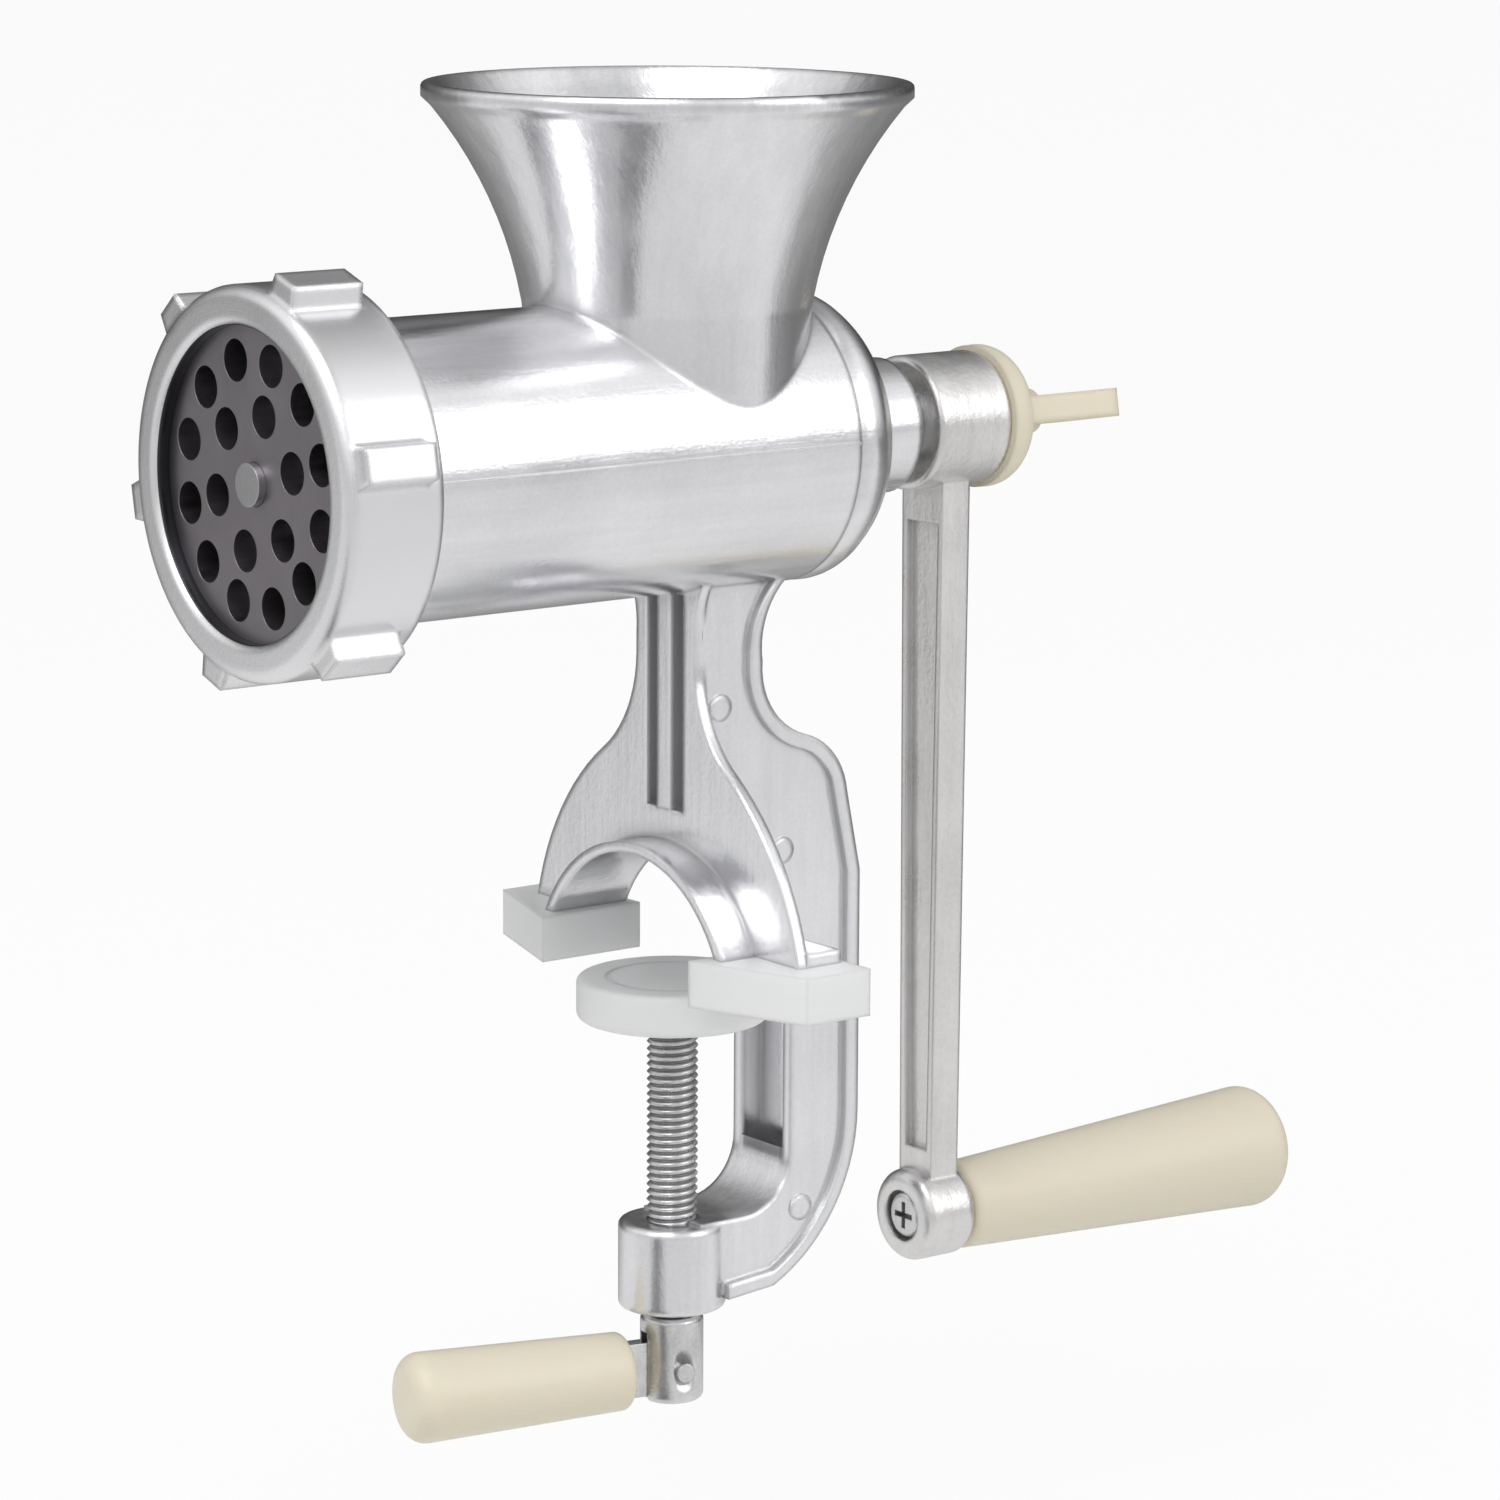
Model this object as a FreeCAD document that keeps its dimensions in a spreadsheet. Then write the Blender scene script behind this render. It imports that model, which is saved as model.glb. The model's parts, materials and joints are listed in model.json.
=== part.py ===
import FreeCAD, Part
import Sketcher
import math
import os
from FreeCAD import Vector

doc = FreeCAD.newDocument("grinder")
sheet = doc.addObject("Spreadsheet::Sheet", "Dims")

# Millimetres and degrees. The clamp screw stands on Z, the table plane is z = 0,
# the barrel lies along Y with its mouth at the front and the crank at the back.
SIZES = [
    # shared frame and fits
    ("axis_height", 103.0),
    ("running_gap", 0.06),
    ("seated_gap", 0.02),
    ("loose_gap", 0.4),
    # barrel
    ("barrel_radius", 28.0),
    ("bore_radius", 24.5),
    ("collar_radius", 33.2),
    ("collar_setback", 1.7),
    ("collar_length", 13.2),
    ("collar_slope", 3.0),
    ("knife_room_radius", 28.3),
    ("knife_room_depth", 2.4),
    ("bore_taper", 3.0),
    ("bead_front", 23.2),
    ("bead_step", 0.7),
    ("bead_width", 7.5),
    ("bead_bend", 7.0),
    ("dome_radius_in", 15.0),
    ("dome_back", 37.8),
    ("dome_bend", 15.5),
    ("neck_radius", 13.2),
    ("neck_back", 49.9),
    ("rear_wall", 27.5),
    ("bush_radius", 10.0),
    # hopper
    ("hopper_shift", 1.7),
    ("hopper_wall", 2.7),
    ("rim_radius", 46.2),
    ("rim_height", 68.5),
    ("rim_edge", 0.9),
    ("rim_drop", 2.6),
    ("flare_radius", 44.4),
    ("flare_drop", 1.7),
    ("flare_bend", 80.0),
    ("throat_radius", 27.4),
    ("throat_height", 27.0),
    ("throat_foot", 25.6),
    # wishbone plate and arch
    ("plate_front", 2.0),
    ("plate_depth", 2.4),
    ("shoulder_half", 20.4),
    ("shoulder_drop", 17.4),
    ("shoulder_bend", 20.0),
    ("waist_half", 9.2),
    ("waist_drop", 37.0),
    ("hip_drop", 41.0),
    ("hip_bend", 25.0),
    ("thigh_half", 20.0),
    ("thigh_drop", 61.0),
    ("leg_bend", 55.0),
    ("foot_half", 42.0),
    ("arch_half", 26.0),
    ("arch_bend", 29.1),
    ("arch_band", 2.6),
    ("arch_front", 9.8),
    ("arch_back", 8.0),
    ("sole_depth", 2.6),
    ("rib_half", 2.2),
    ("rib_rise", 0.3),
    ("rib_bottom", 70.0),
    ("flute_half", 5.7),
    ("flute_depth", 3.2),
    # column, spine and lower arm of the clamp frame
    ("column_half", 9.2),
    ("spine_front", 22.0),
    ("spine_back", 36.2),
    ("column_top", 22.0),
    ("column_foot", 80.0),
    ("soffit_back", 8.5),
    ("soffit_drop", 82.5),
    ("throat_top", 96.0),
    ("throat_bend", 14.0),
    ("elbow_drop", 139.5),
    ("elbow_bend", 11.5),
    ("arm_top", 151.0),
    ("arm_front", 10.5),
    ("arm_bottom", 166.6),
    ("heel_y", 17.0),
    ("heel_drop", 164.2),
    ("heel_bend", 35.0),
    ("spine_drop", 133.0),
    ("knee_drop", 85.0),
    ("loin_y", 32.9),
    ("loin_drop", 69.0),
    ("loin_bend", 13.0),
    ("rump_y", 24.0),
    ("rump_drop", 58.2),
    ("nape_bend", 16.0),
    ("nape_y", 12.0),
    ("nape_drop", 41.5),
    ("crown_bend", 18.5),
    ("crown_y", 20.4),
    ("crown_drop", 24.0),
    ("edge_half", 10.5),
    ("edge_out", 1.4),
    ("edge_in", 1.6),
    ("rim_front", 6.0),
    ("core_half", 6.6),
    ("core_depth", 5.0),
    ("core_top", 100.0),
    ("core_bottom", 143.0),
    # clamp boss
    ("boss_radius", 10.5),
    ("boss_top", 151.5),
    ("boss_bottom", 168.8),
    ("boss_edge", 1.2),
    # ring nut
    ("ring_radius", 36.0),
    ("ring_front", 97.2),
    ("ring_depth", 19.8),
    ("ring_mouth", 28.8),
    ("ring_lip", 3.3),
    ("ring_round", 2.4),
    ("ring_chamfer", 0.9),
    ("lug_reach", 40.0),
    ("lug_root", 34.5),
    ("lug_root_half", 4.4),
    ("lug_tip_half", 3.2),
    ("lug_setback", 1.8),
    ("lug_end", 3.4),
    ("lug_count", 6),
    ("lug_phase", 19.0),
    # cutting plate
    ("disc_radius", 31.0),
    ("disc_depth", 6.5),
    ("grind_hole", 3.9),
    ("outer_row", 22.6),
    ("outer_count", 12),
    ("inner_row", 12.9),
    ("inner_count", 6),
    ("hole_phase", 15.0),
    ("key_radius", 2.0),
    ("key_row", 30.2),
    ("key_length", 8.0),
    # knife
    ("knife_hub", 10.5),
    ("knife_depth", 8.0),
    ("blade_reach", 27.4),
    ("blade_root_half", 4.2),
    ("blade_tip_half", 6.2),
    ("blade_lean", 3.0),
    ("blade_depth", 5.4),
    ("blade_count", 4),
    ("square_half", 6.0),
    # worm
    ("worm_radius", 23.9),
    ("worm_core", 10.5),
    ("worm_back", 25.4),
    ("worm_collar", 13.0),
    ("worm_collar_depth", 5.0),
    ("flight_setback", 1.4),
    ("flight_root", 8.5),
    ("flight_tip", 5.0),
    ("flight_pitch", 30.0),
    ("flight_end", 10.0),
    ("flight_sink", 1.0),
    ("spigot_radius", 4.0),
    ("spigot_proud", 1.6),
    ("spigot_length", 35.5),
    # shaft
    ("journal_radius", 8.0),
    ("root_radius", 6.0),
    ("root_front", 4.0),
    ("tang_half", 5.75),
    ("tang_back", 70.6),
    ("washer_radius", 13.0),
    # crank
    ("hub_radius", 13.2),
    ("hub_front", 54.8),
    ("hub_back", 73.0),
    ("hub_edge", 1.2),
    ("crank_reach", 160.5),
    ("beam_front", 61.0),
    ("beam_depth", 6.8),
    ("beam_top_half", 6.4),
    ("beam_low_half", 4.9),
    ("beam_channel", 1.5),
    ("beam_web", 1.6),
    ("channel_top", 20.0),
    ("channel_low", 147.0),
    ("eye_radius", 9.3),
    ("eye_front", 57.4),
    ("eye_back", 70.2),
    ("eye_round", 2.5),
    ("screw_recess", 5.2),
    ("recess_depth", 3.0),
    # thumb screw
    ("thumb_flange", 14.0),
    ("thumb_flange_depth", 6.4),
    ("thumb_cone_back", 88.0),
    ("thumb_cone_radius", 4.4),
    ("thumb_cone_bend", 11.0),
    ("thumb_flange_bend", 5.0),
    ("thumb_rim", 1.2),
    ("thumb_taper", 2.4),
    ("wing_front", 80.0),
    ("wing_back", 105.0),
    ("wing_root_half", 6.0),
    ("wing_tip_half", 9.5),
    ("wing_depth", 5.6),
    ("wing_corner", 3.0),
    ("wing_tilt", 10.0),
    ("stud_radius", 4.0),
    ("stud_front", 56.6),
    ("stud_back", 82.0),
    # crank handle
    ("grip_front", 70.6),
    ("grip_back", 154.0),
    ("grip_small", 8.9),
    ("grip_large", 12.7),
    ("grip_round", 4.5),
    ("grip_nose", 1.6),
    ("handle_screw_radius", 3.0),
    ("handle_screw_back", 116.0),
    ("handle_head_radius", 4.7),
    ("handle_head_depth", 2.4),
    ("handle_head_round", 1.2),
    ("insert_radius", 5.0),
    ("insert_back", 122.0),
    # clamp screw
    ("screw_radius", 5.0),
    ("screw_top", 3.6),
    ("tip_radius", 3.4),
    ("fork_top", 67.2),
    ("fork_bottom", 84.6),
    ("fork_radius", 6.2),
    ("fork_round", 1.4),
    ("screw_neck", 4.2),
    ("slot_half", 1.6),
    ("slot_top", 70.6),
    ("rivet_height", 78.0),
    ("handle_swing", 12.0),
    ("rivet_radius", 1.85),
    ("rivet_proud", 0.8),
    # clamp pad
    ("pad_radius", 18.6),
    ("pad_top", 0.2),
    ("pad_depth", 8.2),
    ("pad_round", 1.6),
    ("pad_edge", 1.2),
    # clamp handle
    ("tang_thick_half", 1.5),
    ("tang_tall_half", 5.4),
    ("tang_nose", 6.2),
    ("tang_reach", 38.0),
    ("lever_front", 10.4),
    ("lever_back", 56.5),
    ("lever_small", 7.7),
    ("lever_large", 8.8),
    ("lever_round", 4.0),
    ("lever_nose", 1.4),
    # jaw pads
    ("jaw_depth", 9.0),
    ("jaw_inner", 23.5),
    ("jaw_outer", 49.0),
    ("jaw_front", 14.0),
    ("jaw_front_outer", 5.5),
    ("jaw_back", 9.5),
]

class Size:
    def __init__(self, value, text):
        self.value = value
        self.text = text

    def __add__(self, other):
        other = size_of(other)
        return Size(self.value + other.value, "(%s + %s)" % (self.text, other.text))

    def __sub__(self, other):
        other = size_of(other)
        return Size(self.value - other.value, "(%s - %s)" % (self.text, other.text))

    def __mul__(self, other):
        other = size_of(other)
        return Size(self.value * other.value, "%s * %s" % (self.text, other.text))

    def __truediv__(self, other):
        other = size_of(other)
        return Size(self.value / other.value, "%s / (%s)" % (self.text, other.text))

    def __neg__(self):
        return Size(-self.value, "(0 - %s)" % self.text)

    def sin(self):
        return Size(math.sin(math.radians(self.value)), "sin(%s * 1 deg)" % self.text)

    def cos(self):
        return Size(math.cos(math.radians(self.value)), "cos(%s * 1 deg)" % self.text)


def size_of(item):
    if isinstance(item, Size):
        return item
    return Size(float(item), str(item))


class Sizes:
    def __init__(self):
        for row, (name, value) in enumerate(SIZES, 1):
            cell = "B%d" % row
            sheet.set("A%d" % row, "'" + name)
            sheet.set(cell, str(value))
            sheet.setAlias(cell, name)
            setattr(self, name, Size(float(value), "Dims." + name))


d = Sizes()
zero = Size(0.0, "0")
doc.recompute()


def new_body(label):
    body = doc.addObject("PartDesign::Body", label)
    body.Label = label
    return body


def place(body, x=zero, y=zero, z=zero):
    for axis, value in (("x", x), ("y", y), ("z", z)):
        if value.text != "0":
            body.setExpression("Placement.Base." + axis, value.text)


def swing(body, axis, angle):
    body.Placement.Rotation = FreeCAD.Rotation(axis, angle.value)
    body.setExpression("Placement.Rotation.Angle", "%s * 1 deg" % angle.text)


def origin(body, role):
    for item in body.Origin.OriginFeatures:
        if item.Role == role:
            return item
    raise RuntimeError("no " + role)


def arc_centre(start, end, bend):
    dx = end[0] - start[0]
    dy = end[1] - start[1]
    chord = math.hypot(dx, dy)
    rise = math.sqrt(max(bend * bend - chord * chord / 4.0, 0.0))
    side = 1.0 if bend > 0 else -1.0
    cx = (start[0] + end[0]) / 2.0 - side * dy / chord * rise
    cy = (start[1] + end[1]) / 2.0 + side * dx / chord * rise
    return cx, cy


# A closed outline: corners are pinned by their sizes, bends carry a radius.
class Drawing:
    def __init__(self, body, role, name, shift=(zero, zero, zero)):
        self.sketch = body.newObject("Sketcher::SketchObject", name)
        self.sketch.AttachmentSupport = [(origin(body, role), "")]
        self.sketch.MapMode = "FlatFace"
        for axis, value in zip("xyz", shift):
            if value.text != "0":
                self.sketch.setExpression("AttachmentOffset.Base." + axis, value.text)

    def pin(self, geo, pos, x, y):
        for kind, value, axis in (("DistanceX", x, -2), ("DistanceY", y, -1)):
            if value.text == "0":
                self.sketch.addConstraint(Sketcher.Constraint("PointOnObject", geo, pos, axis))
            else:
                index = self.sketch.addConstraint(
                    Sketcher.Constraint(kind, -1, 1, geo, pos, value.value))
                self.sketch.setExpression("Constraints[%d]" % index, value.text)

    def radius(self, geo, value):
        index = self.sketch.addConstraint(Sketcher.Constraint("Radius", geo, value.value))
        self.sketch.setExpression("Constraints[%d]" % index, value.text)

    def circle(self, x, y, radius):
        shape = Part.Circle(Vector(x.value, y.value, 0), Vector(0, 0, 1), radius.value)
        geo = self.sketch.addGeometry(shape, False)
        self.pin(geo, 3, x, y)
        self.radius(geo, radius)
        return self

    def outline(self, corners):
        ends = []
        count = len(corners)
        for index, corner in enumerate(corners):
            after = corners[(index + 1) % count]
            start = (corner[0].value, corner[1].value)
            end = (after[0].value, after[1].value)
            if len(corner) == 2:
                line = Part.LineSegment(Vector(*start, 0), Vector(*end, 0))
                geo = self.sketch.addGeometry(line, False)
                ends.append((geo, 1, 2))
                continue
            bend = corner[2]
            cx, cy = arc_centre(start, end, bend.value)
            first, last = (start, end) if bend.value > 0 else (end, start)
            round_ = Part.Circle(Vector(cx, cy, 0), Vector(0, 0, 1), abs(bend.value))
            a0 = math.atan2(first[1] - cy, first[0] - cx)
            a1 = math.atan2(last[1] - cy, last[0] - cx)
            geo = self.sketch.addGeometry(Part.ArcOfCircle(round_, a0, a1), False)
            ends.append((geo, 1, 2) if bend.value > 0 else (geo, 2, 1))
        for index, corner in enumerate(corners):
            geo, pos = ends[index][0], ends[index][1]
            before = ends[index - 1]
            self.sketch.addConstraint(
                Sketcher.Constraint("Coincident", before[0], before[2], geo, pos))
            self.pin(geo, pos, corner[0], corner[1])
        for index, corner in enumerate(corners):
            if len(corner) == 3:
                bend = corner[2]
                self.radius(ends[index][0], bend if bend.value > 0 else -bend)
        return self


def feature(body, kind, drawing, name):
    item = body.newObject("PartDesign::" + kind, name)
    item.Profile = drawing.sketch
    return item


def pad(body, drawing, length, name, both=False, back=False, kind="Pad"):
    item = feature(body, kind, drawing, name)
    item.setExpression("Length", length.text)
    if both:
        item.SideType = "Symmetric"
    item.Reversed = back
    return item


def pocket(body, drawing, length, name, both=False, back=False):
    return pad(body, drawing, length, name, both, back, "Pocket")


def turn(body, drawing, axis, name, kind="Revolution"):
    item = feature(body, kind, drawing, name)
    item.ReferenceAxis = (drawing.sketch, [axis])
    item.Angle = 360.0
    return item


def cut_round(body, drawing, axis, name):
    return turn(body, drawing, axis, name, "Groove")


def around(body, original, role, count, name):
    item = body.newObject("PartDesign::PolarPattern", name)
    item.Originals = [original]
    item.Axis = (origin(body, role), [""])
    item.Angle = 360.0
    item.setExpression("Occurrences", count.text)
    body.Tip = item
    return item


# Adds the other half of an outline given from top to bottom on the +X side.
def mirrored(corners):
    other = []
    for index in range(len(corners) - 1, -1, -1):
        x, y = corners[index][0], corners[index][1]
        bend = corners[index - 1][2:] if index > 0 else ()
        other.append((-x, y) + tuple(bend))
    return list(corners) + other


def box_corners(x0, y0, x1, y1):
    return [(x0, y0), (x1, y0), (x1, y1), (x0, y1)]


def along_barrel(body):
    place(body, z=d.axis_height)


# Stations along the barrel, counted back from the front of the ring nut.
plate_front = d.ring_front - d.ring_lip
plate_back = plate_front - d.disc_depth
knife_back = plate_back - d.knife_depth
knife_room_back = knife_back - d.knife_room_depth
flight_start = knife_back - d.flight_setback
collar_front = plate_front - d.collar_setback
collar_back = collar_front - d.collar_length
flare_height = d.rim_height - d.rim_drop - d.flare_drop

# The casting: barrel, hopper, wishbone stand, clamp frame and boss in one piece.
casting = new_body("body_casting")
along_barrel(casting)
bead_back = d.bead_front + d.bead_width
bead_top = d.barrel_radius - d.bead_step
turn(casting, Drawing(casting, "YZ_Plane", "barrel_outline").outline([
    (-collar_front, zero),
    (-collar_front, d.collar_radius),
    (-collar_back, d.collar_radius),
    (d.collar_slope - collar_back, d.barrel_radius),
    (d.bead_front, d.barrel_radius),
    (d.bead_front, bead_top, -d.bead_bend),
    (bead_back, bead_top - d.bead_step, -d.dome_bend),
    (d.dome_back, d.dome_radius_in),
    (d.dome_back, d.neck_radius),
    (d.neck_back, d.neck_radius),
    (d.neck_back, zero),
]), "H_Axis", "barrel")

hopper_at = (-d.hopper_shift, zero, zero)
turn(casting, Drawing(casting, "YZ_Plane", "hopper_outline", hopper_at).outline([
    (zero, zero),
    (d.throat_foot, zero),
    (d.throat_radius, d.throat_height, -d.flare_bend),
    (d.flare_radius, flare_height),
    (d.rim_radius, d.rim_height - d.rim_drop),
    (d.rim_radius, d.rim_height - d.rim_edge, d.rim_edge),
    (d.rim_radius - d.rim_edge, d.rim_height),
    (zero, d.rim_height),
]), "V_Axis", "hopper")

foot_drop = d.axis_height - d.jaw_depth
leg = [
    (d.shoulder_half, -d.shoulder_drop, d.shoulder_bend),
    (d.waist_half, -d.waist_drop),
    (d.waist_half, -d.hip_drop, d.hip_bend),
    (d.thigh_half, -d.thigh_drop, -d.leg_bend),
    (d.foot_half, -foot_drop),
    (d.arch_half, -foot_drop, d.arch_bend),
]
wishbone = mirrored(leg)
pad(casting, Drawing(casting, "XZ_Plane", "wishbone_outline", (zero, zero, d.plate_front))
    .outline(wishbone), d.plate_depth, "wishbone", back=True)

band_half = d.arch_half + d.arch_band
band_bend = d.arch_bend + d.arch_band
pad(casting, Drawing(casting, "XZ_Plane", "band_outline", (zero, zero, d.arch_front)).outline([
    (d.arch_half, -foot_drop, d.arch_bend),
    (-d.arch_half, -foot_drop),
    (-band_half, -foot_drop, -band_bend),
    (band_half, -foot_drop),
]), d.arch_front + d.arch_back, "arch_flange", back=True)

sole_top = -(foot_drop - d.sole_depth)
for side, name in ((1, "near"), (-1, "far")):
    inner = d.arch_half * side
    outer = d.foot_half * side
    pad(casting, Drawing(casting, "XZ_Plane", name + "_sole_outline").outline(
        box_corners(inner, -foot_drop, outer, sole_top)), d.arch_back, name + "_sole", back=True)

column = [
    (zero, -d.column_top),
    (zero, -d.column_foot),
    (d.soffit_back, -d.soffit_drop, -d.throat_bend),
    (d.spine_front, -d.throat_top),
    (d.spine_front, -d.elbow_drop, -d.elbow_bend),
    (d.arm_front, -d.arm_top),
    (zero, -d.arm_top),
    (zero, -d.arm_bottom),
    (d.heel_y, -d.heel_drop, d.heel_bend),
    (d.spine_back, -d.spine_drop),
    (d.spine_back, -d.knee_drop),
    (d.loin_y, -d.loin_drop, d.loin_bend),
    (d.rump_y, -d.rump_drop, -d.nape_bend),
    (d.nape_y, -d.nape_drop, -d.crown_bend),
    (d.crown_y, -d.crown_drop),
]
pad(casting, Drawing(casting, "YZ_Plane", "column_outline").outline(column),
    d.column_half * 2, "column", both=True)

edge_heel = d.edge_in + d.edge_out
rim = [
    (d.rim_front, -d.arm_bottom),
    (d.heel_y, -d.heel_drop - d.edge_out, d.heel_bend + d.edge_out),
    (d.spine_back + d.edge_out, -d.spine_drop),
    (d.spine_back + d.edge_out, -d.knee_drop),
    (d.loin_y + d.edge_out, -d.loin_drop, d.loin_bend + d.edge_out),
    (d.rump_y, -d.rump_drop + d.edge_out, d.edge_out - d.nape_bend),
    (d.nape_y + d.edge_out, -d.nape_drop, d.edge_out - d.crown_bend),
    (d.crown_y + d.edge_out, -d.crown_drop),
    (d.crown_y - d.edge_in, -d.crown_drop, d.crown_bend + d.edge_in),
    (d.nape_y - d.edge_in, -d.nape_drop, d.nape_bend + d.edge_in),
    (d.rump_y, -d.rump_drop - d.edge_in, d.edge_in - d.loin_bend),
    (d.loin_y - d.edge_in, -d.loin_drop),
    (d.spine_back - d.edge_in, -d.knee_drop),
    (d.spine_back - d.edge_in, -d.spine_drop, d.edge_in - d.heel_bend),
    (d.heel_y, -d.heel_drop + d.edge_in),
    (d.rim_front, -d.arm_bottom + edge_heel),
]
pad(casting, Drawing(casting, "YZ_Plane", "rim_outline").outline(rim),
    d.edge_half * 2, "rear_rim", both=True)

turn(casting, Drawing(casting, "YZ_Plane", "boss_outline").outline([
    (zero, -d.boss_bottom),
    (d.boss_radius - d.boss_edge, -d.boss_bottom, d.boss_edge),
    (d.boss_radius, d.boss_edge - d.boss_bottom),
    (d.boss_radius, -d.boss_top - d.boss_edge, d.boss_edge),
    (d.boss_radius - d.boss_edge, -d.boss_top),
    (zero, -d.boss_top),
]), "V_Axis", "boss")

pad(casting, Drawing(casting, "XZ_Plane", "rib_outline", (zero, zero, d.plate_front + d.rib_rise))
    .outline(box_corners(-d.rib_half, -d.rib_bottom, d.rib_half, -d.column_top)),
    d.rib_rise + d.plate_depth, "front_rib", back=True)

for side, name in ((1, "near"), (-1, "far")):
    pocket(casting, Drawing(casting, "XZ_Plane", name + "_flute_outline",
                            (zero, zero, d.plate_front)).outline(
        box_corners(d.rib_half * side, -d.rib_bottom, d.flute_half * side,
                    -d.barrel_radius)), d.flute_depth, name + "_flute")

pocket(casting, Drawing(casting, "XZ_Plane", "core_outline", (zero, zero, -d.spine_front)).outline(
    box_corners(-d.core_half, -d.core_bottom, d.core_half, -d.core_top)),
    d.core_depth, "spine_core")

mouth = collar_front + d.loose_gap
seat = d.disc_radius + d.running_gap
key_front = plate_front - d.loose_gap
key_back = key_front - d.key_length
cut_round(casting, Drawing(casting, "YZ_Plane", "bore_outline").outline([
    (-mouth, zero),
    (-mouth, seat),
    (d.loose_gap - plate_back, seat),
    (d.loose_gap - plate_back, d.knife_room_radius),
    (-knife_room_back, d.knife_room_radius),
    (d.bore_taper - knife_room_back, d.bore_radius),
    (d.rear_wall, d.bore_radius),
    (d.rear_wall, d.bush_radius + d.seated_gap),
    (d.neck_back + d.loose_gap, d.bush_radius + d.seated_gap),
    (d.neck_back + d.loose_gap, zero),
]), "H_Axis", "barrel_bore")

cut_round(casting, Drawing(casting, "YZ_Plane", "funnel_outline", hopper_at).outline([
    (zero, zero),
    (d.throat_foot - d.hopper_wall, zero),
    (d.throat_radius - d.hopper_wall, d.throat_height, -d.flare_bend - d.hopper_wall),
    (d.flare_radius - d.hopper_wall, flare_height + d.rim_edge),
    (d.flare_radius - d.hopper_wall + d.rim_drop, d.rim_height + d.loose_gap),
    (zero, d.rim_height + d.loose_gap),
]), "V_Axis", "hopper_funnel")

pocket(casting, Drawing(casting, "XY_Plane", "thread_outline", (zero, zero, d.loose_gap - d.arm_top))
       .circle(zero, zero, d.screw_radius + d.running_gap),
       d.boss_bottom - d.arm_top + d.loose_gap * 2, "clamp_thread")

pocket(casting, Drawing(casting, "XZ_Plane", "keyway_outline", (zero, zero, mouth))
       .circle(zero, d.key_row, d.key_radius + d.seated_gap),
       mouth - key_back, "keyway")

# The ring nut that closes the barrel.
ring = new_body("ring_nut")
along_barrel(ring)
swing(ring, Vector(0, 1, 0), d.lug_phase)
ring_back = d.ring_front - d.ring_depth
thread_radius = d.collar_radius + d.running_gap
turn(ring, Drawing(ring, "YZ_Plane", "ring_outline").outline([
    (-d.ring_front, d.ring_mouth + d.ring_chamfer),
    (-d.ring_front, d.ring_radius - d.ring_round, -d.ring_round),
    (d.ring_round - d.ring_front, d.ring_radius),
    (-ring_back, d.ring_radius),
    (-ring_back, thread_radius),
    (d.ring_lip - d.ring_front, thread_radius),
    (d.ring_lip - d.ring_front, d.ring_mouth),
    (d.ring_chamfer - d.ring_front, d.ring_mouth),
]), "H_Axis", "ring")
lug_front = d.ring_front - d.lug_setback
lug = pad(ring, Drawing(ring, "XZ_Plane", "lug_outline", (zero, zero, lug_front)).outline([
    (-d.lug_root_half, d.lug_root),
    (d.lug_root_half, d.lug_root),
    (d.lug_tip_half, d.lug_reach),
    (-d.lug_tip_half, d.lug_reach),
]), lug_front - ring_back - d.lug_end, "lug", back=True)
around(ring, lug, "Y_Axis", d.lug_count, "lugs")

# The cutting plate, its key and the pin that carries it.
plate = new_body("cutting_plate")
along_barrel(plate)
pad(plate, Drawing(plate, "XZ_Plane", "plate_outline", (zero, zero, plate_front))
    .circle(zero, zero, d.disc_radius)
    .circle(zero, zero, d.spigot_radius + d.running_gap), d.disc_depth, "disc", back=True)
for row, count, name in ((d.outer_row, d.outer_count, "outer"), (d.inner_row, d.inner_count, "inner")):
    hole = pocket(plate, Drawing(plate, "XZ_Plane", name + "_hole_outline", (zero, zero, plate_front))
                  .circle(row * d.hole_phase.sin(), row * d.hole_phase.cos(), d.grind_hole),
                  d.disc_depth, name + "_hole")
    around(plate, hole, "Y_Axis", count, name + "_holes")
notch = pocket(plate, Drawing(plate, "XZ_Plane", "notch_outline", (zero, zero, plate_front))
               .circle(zero, d.key_row, d.key_radius + d.running_gap), d.disc_depth, "key_notch")
plate.Tip = notch

key = new_body("plate_key")
along_barrel(key)
pad(key, Drawing(key, "XZ_Plane", "key_outline", (zero, zero, key_front))
    .circle(zero, d.key_row, d.key_radius), d.key_length, "key", back=True)

# The four-armed knife that sweeps the back of the plate.
knife = new_body("cross_knife")
along_barrel(knife)
pad(knife, Drawing(knife, "XZ_Plane", "knife_hub_outline", (zero, zero, plate_back))
    .circle(zero, zero, d.knife_hub), d.knife_depth, "knife_hub", back=True)
blade = pad(knife, Drawing(knife, "XZ_Plane", "blade_outline", (zero, zero, plate_back)).outline([
    (-d.blade_root_half, zero),
    (d.blade_root_half, zero),
    (d.blade_tip_half + d.blade_lean, d.blade_reach - d.blade_lean),
    (-d.blade_root_half + d.blade_lean, d.blade_reach),
]), d.blade_depth, "blade", back=True)
around(knife, blade, "Y_Axis", d.blade_count, "blades")
knife_hole = d.square_half + d.running_gap
pocket(knife, Drawing(knife, "XZ_Plane", "square_outline", (zero, zero, plate_back)).outline(
    box_corners(-knife_hole, -knife_hole, knife_hole, knife_hole)), d.knife_depth, "square_hole")

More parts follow.
